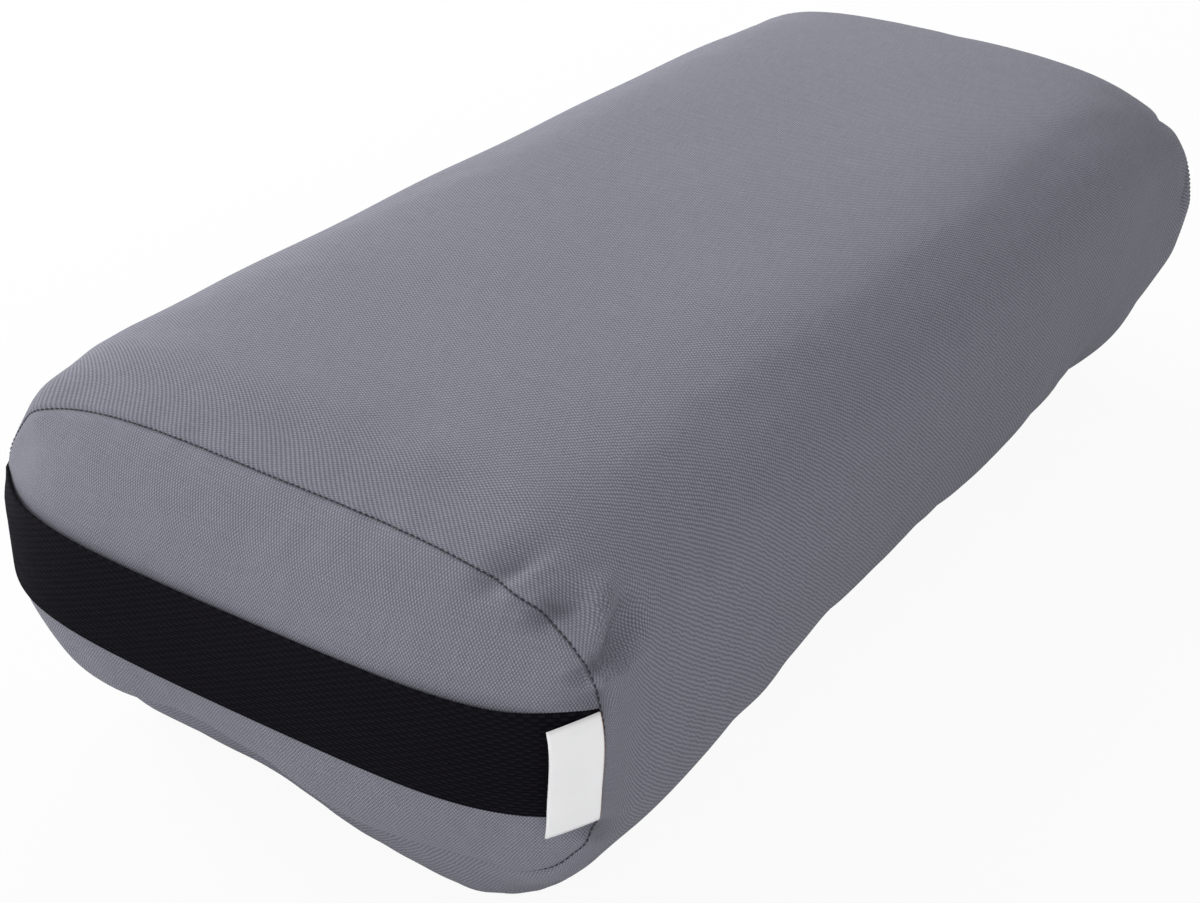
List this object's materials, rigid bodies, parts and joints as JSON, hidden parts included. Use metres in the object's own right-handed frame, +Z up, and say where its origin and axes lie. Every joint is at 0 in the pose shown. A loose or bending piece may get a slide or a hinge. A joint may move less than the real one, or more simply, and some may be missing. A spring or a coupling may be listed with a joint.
{
  "type": "rectangular yoga bolster",
  "caption": "Long rectangular bolster: a stuffed canvas cover with a side zipper and a webbing carry handle, over a padded foam inner cushion.",
  "frame": {"origin": "middle of the flat face that the bolster rests on, half way between its two end seams", "axes": "+Y runs along the bolster from the handle end to the far end, +X across it towards the side without the zipper, +Z up"},
  "size_m": [0.2995, 0.6997, 0.185],
  "materials": {
    "canvas": "matt grey plain-weave cotton canvas",
    "webbing": "black ribbed cotton webbing",
    "label_satin": "blank white woven satin",
    "muslin": "unbleached cotton muslin",
    "batting": "loose needled cotton batting",
    "foam": "open-cell upholstery foam",
    "zipper_tape": "grey woven polyester tape",
    "zipper_coil": "grey nylon coil, slight sheen",
    "zipper_metal": "grey lacquered zinc"
  },
  "bodies": {
    "cover": {"cover_body_panel": "canvas", "cover_near_end_panel": "canvas", "cover_far_end_panel": "canvas", "inner_case_wrap": "muslin", "inner_case_near_end": "muslin", "inner_case_far_end": "muslin", "batting_upper": "batting", "batting_lower": "batting", "foam_core_upper": "foam", "foam_core_lower": "foam", "zipper_tape_upper": "zipper_tape", "zipper_tape_lower": "zipper_tape", "zipper_coil_upper": "zipper_coil", "zipper_coil_lower": "zipper_coil", "zipper_top_stop_upper": "zipper_metal", "zipper_top_stop_lower": "zipper_metal", "zipper_bottom_stop": "zipper_metal"},
    "handle": {"handle_strap": "webbing"},
    "label": {"blank_label": "label_satin"},
    "slider": {"zipper_slider": "zipper_metal"},
    "pull_tab": {"zipper_pull_tab": "zipper_metal"}
  },
  "joints": [
    {"name": "zipper_slide", "type": "slide", "parent": "cover", "child": "slider", "axis": [0, 1, 0], "range_m": [0, 0.4278]},
    {"name": "pull_tab_flip", "type": "hinge", "parent": "slider", "child": "pull_tab", "pos_m": [-0.14824, -0.2139, 0.0925], "axis": [0, 0, 1], "range_deg": [0, 170]},
    {"name": "handle_lift", "type": "slide", "parent": "cover", "child": "handle", "axis": [0, -1, 0], "range_m": [0, 0.03], "stiffness_N_per_m": 150, "deforming": ["handle_strap"]},
    {"name": "label_flip", "type": "hinge", "parent": "cover", "child": "label", "pos_m": [0.14866, -0.3218, 0.1045], "axis": [0, 0, 1], "range_deg": [0, 150], "stiffness_Nm_per_rad": 0.0001}
  ]
}
